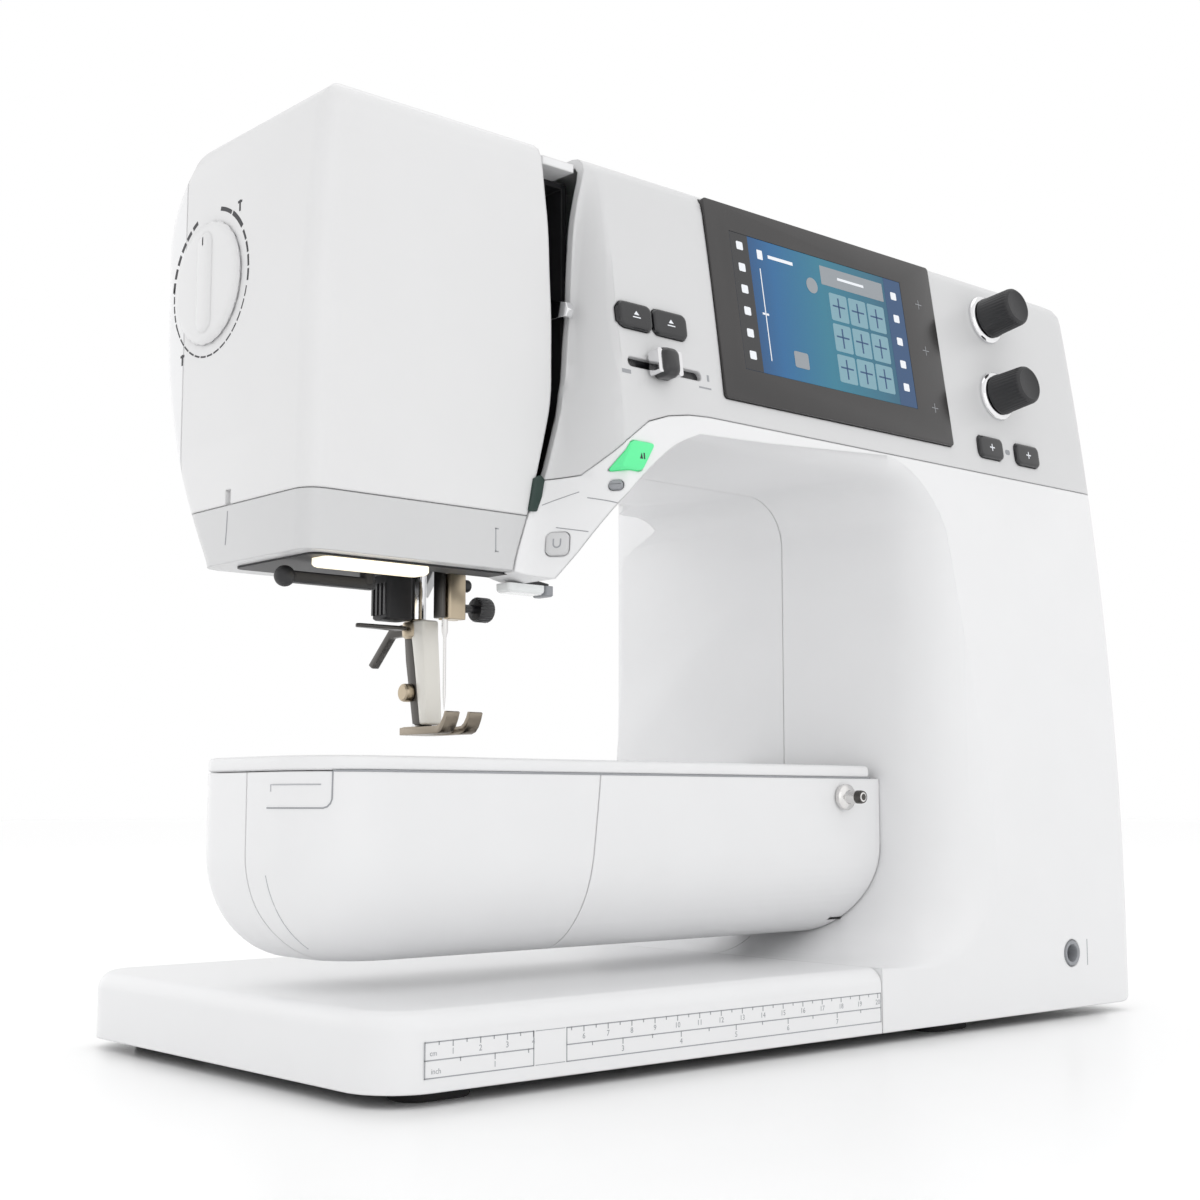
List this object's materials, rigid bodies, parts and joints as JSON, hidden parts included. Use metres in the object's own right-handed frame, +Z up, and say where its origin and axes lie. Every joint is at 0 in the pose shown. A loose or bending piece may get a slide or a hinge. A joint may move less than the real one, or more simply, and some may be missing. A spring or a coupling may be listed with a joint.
{
  "type": "sewing machine",
  "caption": "Free-arm electronic sewing machine with flat base, tilted control panel, touch display, knobs, threading slot and presser foot.",
  "frame": {"origin": "middle of the footprint on the surface that the feet stand on", "axes": "+X to the operator's right along the base, +Y to the back, +Z up"},
  "size_m": [0.4072, 0.1939, 0.321],
  "materials": {
    "white_shell": "smooth moulded satin-gloss white",
    "grey_strip": "smooth light grey",
    "black_plastic": "black, semi-gloss",
    "grey_plastic": "fine satin",
    "rubber": "matt",
    "steel": "polished steel",
    "coated_steel": "cream coated",
    "brass": "satin",
    "casting": "as cast",
    "dark_metal": "matt",
    "screen_glass": "glossy lit display",
    "lit_green": "lit from behind",
    "lens": "lit diffuser"
  },
  "bodies": {
    "machine": {"base_cover": "white_shell", "base_plate": "dark_metal", "foot_front_left": "rubber", "foot_front_right": "rubber", "foot_rear_left": "rubber", "foot_rear_right": "rubber", "knee_lift_socket": "grey_plastic", "front_panel": "white_shell", "front_housing": "white_shell", "head_cover": "white_shell", "head_lower_strip": "grey_strip", "rear_housing": "white_shell", "top_cover": "white_shell", "free_arm_shell": "white_shell", "free_arm_top": "white_shell", "needle_plate": "steel", "accessory_pin": "steel", "display_bezel": "black_plastic", "display_screen": "screen_glass", "cast_frame": "casting", "motor": "dark_metal", "drive_belt": "rubber", "bobbin_case": "steel", "bobbin": "brass", "slot_liner": "black_plastic", "led_light": "lens", "thread_guide": "white_shell", "power_inlet": "black_plastic"},
    "handwheel": {"handwheel": "white_shell", "main_shaft": "steel"},
    "motor_rotor": {"motor_pulley": "steel"},
    "hook_unit": {"hook": "steel", "hook_shaft": "steel"},
    "needle_unit": {"needle_bar": "steel", "needle_clamp": "brass", "clamp_screw": "black_plastic", "needle": "steel"},
    "take_up": {"take_up_lever": "steel"},
    "presser_unit": {"presser_bar": "steel", "foot_shank": "coated_steel"},
    "foot_sole": {"foot_sole": "steel"},
    "lifter": {"presser_lifter": "black_plastic"},
    "dial": {"pressure_dial": "white_shell"},
    "knob_upper": {"knob_upper": "black_plastic"},
    "knob_lower": {"knob_lower": "black_plastic"},
    "button_needle_stop": {"button_needle_stop": "black_plastic"},
    "button_securing": {"button_securing": "black_plastic"},
    "button_pattern_begin": {"button_pattern_begin": "black_plastic"},
    "button_pattern_end": {"button_pattern_end": "black_plastic"},
    "button_start_stop": {"button_start_stop": "lit_green"},
    "button_oval": {"button_oval": "grey_plastic"},
    "button_reverse": {"button_reverse": "white_shell"},
    "speed_slider": {"speed_slider": "black_plastic"},
    "bobbin_flap": {"bobbin_flap": "white_shell"},
    "threader": {"threader_lever": "black_plastic"},
    "carry_handle": {"carry_handle": "white_shell"},
    "spool_pin": {"spool_pin": "grey_plastic"},
    "bobbin_winder": {"bobbin_winder": "black_plastic"},
    "power_switch": {"power_switch": "black_plastic"},
    "feed_dog": {"feed_dog": "steel"}
  },
  "joints": [
    {"name": "handwheel_spin", "type": "hinge", "parent": "machine", "child": "handwheel", "pos_m": [0.198, 0.01, 0.262], "axis": [1, 0, 0], "continuous": true},
    {"name": "motor_spin", "type": "hinge", "parent": "machine", "child": "motor_rotor", "pos_m": [0.15, 0.01, 0.09], "axis": [1, 0, 0], "continuous": true},
    {"name": "hook_spin", "type": "hinge", "parent": "machine", "child": "hook_unit", "pos_m": [-0.13, -0.025, 0.072], "axis": [1, 0, 0], "continuous": true},
    {"name": "needle_bar_slide", "type": "slide", "parent": "machine", "child": "needle_unit", "axis": [0, 0, 1], "range_m": [-0.033, 0]},
    {"name": "take_up_swing", "type": "hinge", "parent": "machine", "child": "take_up", "pos_m": [-0.1, -0.024, 0.25], "axis": [1, 0, 0], "range_deg": [0, 44]},
    {"name": "lifter_swing", "type": "hinge", "parent": "machine", "child": "lifter", "pos_m": [-0.099, 0.006, 0.184], "axis": [1, 0, 0], "range_deg": [-35, 0]},
    {"name": "presser_bar_slide", "type": "slide", "parent": "machine", "child": "presser_unit", "axis": [0, 0, 1], "range_m": [-0.0082, 0.0004]},
    {"name": "foot_sole_tilt", "type": "hinge", "parent": "presser_unit", "child": "foot_sole", "pos_m": [-0.121, -0.0135, 0.1125], "axis": [-1, 0, 0], "range_deg": [0, 5]},
    {"name": "pressure_dial_turn", "type": "hinge", "parent": "machine", "child": "dial", "pos_m": [-0.2006, 0.003, 0.259], "axis": [-1, 0, 0], "range_deg": [-120, 120]},
    {"name": "knob_upper_turn", "type": "hinge", "parent": "machine", "child": "knob_upper", "pos_m": [0.126, -0.07329, 0.2905], "axis": [0, -0.9864, 0.1645], "continuous": true},
    {"name": "knob_lower_turn", "type": "hinge", "parent": "machine", "child": "knob_lower", "pos_m": [0.125, -0.07861, 0.2563], "axis": [0, -0.9897, 0.1433], "continuous": true},
    {"name": "button_needle_stop_press", "type": "slide", "parent": "machine", "child": "button_needle_stop", "axis": [0, 0.9901, -0.1407], "range_m": [0, 0.0012], "stiffness_N_per_m": 400},
    {"name": "button_securing_press", "type": "slide", "parent": "machine", "child": "button_securing", "axis": [0, 0.9901, -0.1407], "range_m": [0, 0.0012], "stiffness_N_per_m": 400},
    {"name": "button_pattern_begin_press", "type": "slide", "parent": "machine", "child": "button_pattern_begin", "axis": [0, 0.9917, -0.1285], "range_m": [0, 0.0012], "stiffness_N_per_m": 400},
    {"name": "button_pattern_end_press", "type": "slide", "parent": "machine", "child": "button_pattern_end", "axis": [0, 0.9917, -0.1285], "range_m": [0, 0.0012], "stiffness_N_per_m": 400},
    {"name": "button_start_stop_press", "type": "slide", "parent": "machine", "child": "button_start_stop", "axis": [0, 0.994, -0.1094], "range_m": [0, 0.0008], "stiffness_N_per_m": 400},
    {"name": "button_oval_press", "type": "slide", "parent": "machine", "child": "button_oval", "axis": [0.7977, 0.5016, -0.3347], "range_m": [0, 0.0006], "stiffness_N_per_m": 400},
    {"name": "button_reverse_press", "type": "slide", "parent": "machine", "child": "button_reverse", "axis": [0.835, 0.5205, -0.1786], "range_m": [0, 0.0006], "stiffness_N_per_m": 400},
    {"name": "speed_slider_slide", "type": "slide", "parent": "machine", "child": "speed_slider", "axis": [1, 0, 0], "range_m": [-0.011, 0.018]},
    {"name": "bobbin_flap_open", "type": "hinge", "parent": "machine", "child": "bobbin_flap", "pos_m": [-0.0803, -0.06, 0.07], "axis": [0, 0, 1], "range_deg": [0, 75]},
    {"name": "threader_press", "type": "slide", "parent": "machine", "child": "threader", "axis": [0, 0, -1], "range_m": [0, 0.018], "stiffness_N_per_m": 60},
    {"name": "carry_handle_fold", "type": "hinge", "parent": "machine", "child": "carry_handle", "pos_m": [0.01, 0.051, 0.3134], "axis": [-1, 0, 0], "range_deg": [0, 90]},
    {"name": "spool_pin_fold", "type": "hinge", "parent": "machine", "child": "spool_pin", "pos_m": [0.104, 0.02, 0.3149], "axis": [0, -1, 0], "range_deg": [0, 90]},
    {"name": "bobbin_winder_engage", "type": "slide", "parent": "machine", "child": "bobbin_winder", "axis": [1, 0, 0], "range_m": [-0.004, 0]},
    {"name": "power_switch_rock", "type": "hinge", "parent": "machine", "child": "power_switch", "pos_m": [0.186, 0.065, 0.085], "axis": [0, 1, 0], "range_deg": [0, 8]},
    {"name": "feed_dog_drop", "type": "slide", "parent": "machine", "child": "feed_dog", "axis": [0, 0, 1], "range_m": [-0.003, 0]}
  ],
  "couplings": [
    {"joint": "motor_spin", "follows": "handwheel_spin", "ratio": 3},
    {"joint": "hook_spin", "follows": "handwheel_spin", "ratio": 2},
    {"joint": "take_up_swing", "follows": "needle_bar_slide", "rad_per_m": -23},
    {"joint": "presser_bar_slide", "follows": "lifter_swing", "m_per_rad": 0.0122}
  ]
}
